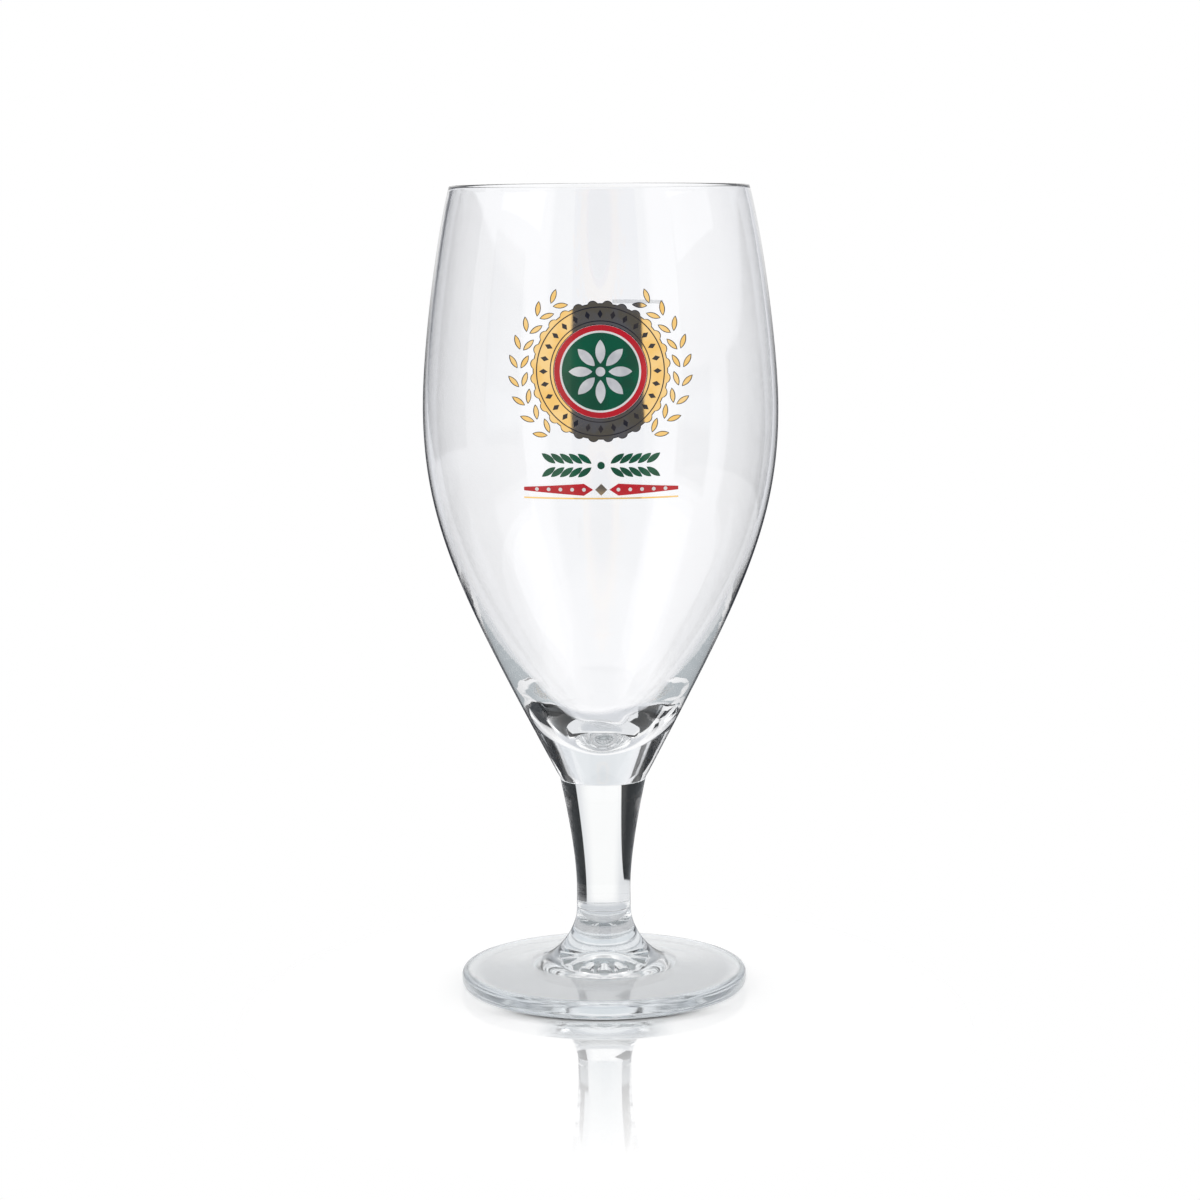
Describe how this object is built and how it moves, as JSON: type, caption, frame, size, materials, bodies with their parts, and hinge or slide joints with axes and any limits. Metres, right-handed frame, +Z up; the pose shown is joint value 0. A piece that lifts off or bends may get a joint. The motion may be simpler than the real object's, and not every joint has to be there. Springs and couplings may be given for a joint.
{
  "type": "pilsner glass",
  "caption": "Stemmed pilsner glass: tall tulip bowl with a thick base, short solid stem, round foot and a round medallion print on the front.",
  "frame": {"origin": "centre of the foot's resting ring, on the table", "axes": "+Z up along the glass's axis; the print faces -Y; +X to the right of someone who looks at the print"},
  "size_m": [0.079, 0.0792, 0.181],
  "materials": {
    "glass": "clear soda-lime glass, fire-polished",
    "gold": "fired bright gold",
    "red_enamel": "fired glossy enamel",
    "white_enamel": "fired glossy enamel",
    "green_enamel": "fired glossy enamel",
    "dark_enamel": "fired glossy enamel",
    "silver": "fired bright silver",
    "mark": "fired pale grey enamel"
  },
  "bodies": {
    "root": {"bowl": "glass", "stem": "glass", "foot": "glass", "gold_band": "gold", "gold_leaves": "gold", "gold_rule": "gold", "dark_lines": "dark_enamel", "red_ring": "red_enamel", "red_bars": "red_enamel", "white_ring": "white_enamel", "white_dots": "white_enamel", "green_field": "green_enamel", "green_sprig": "green_enamel", "silver_rosette": "silver", "fill_mark": "mark"}
  },
  "joints": []
}
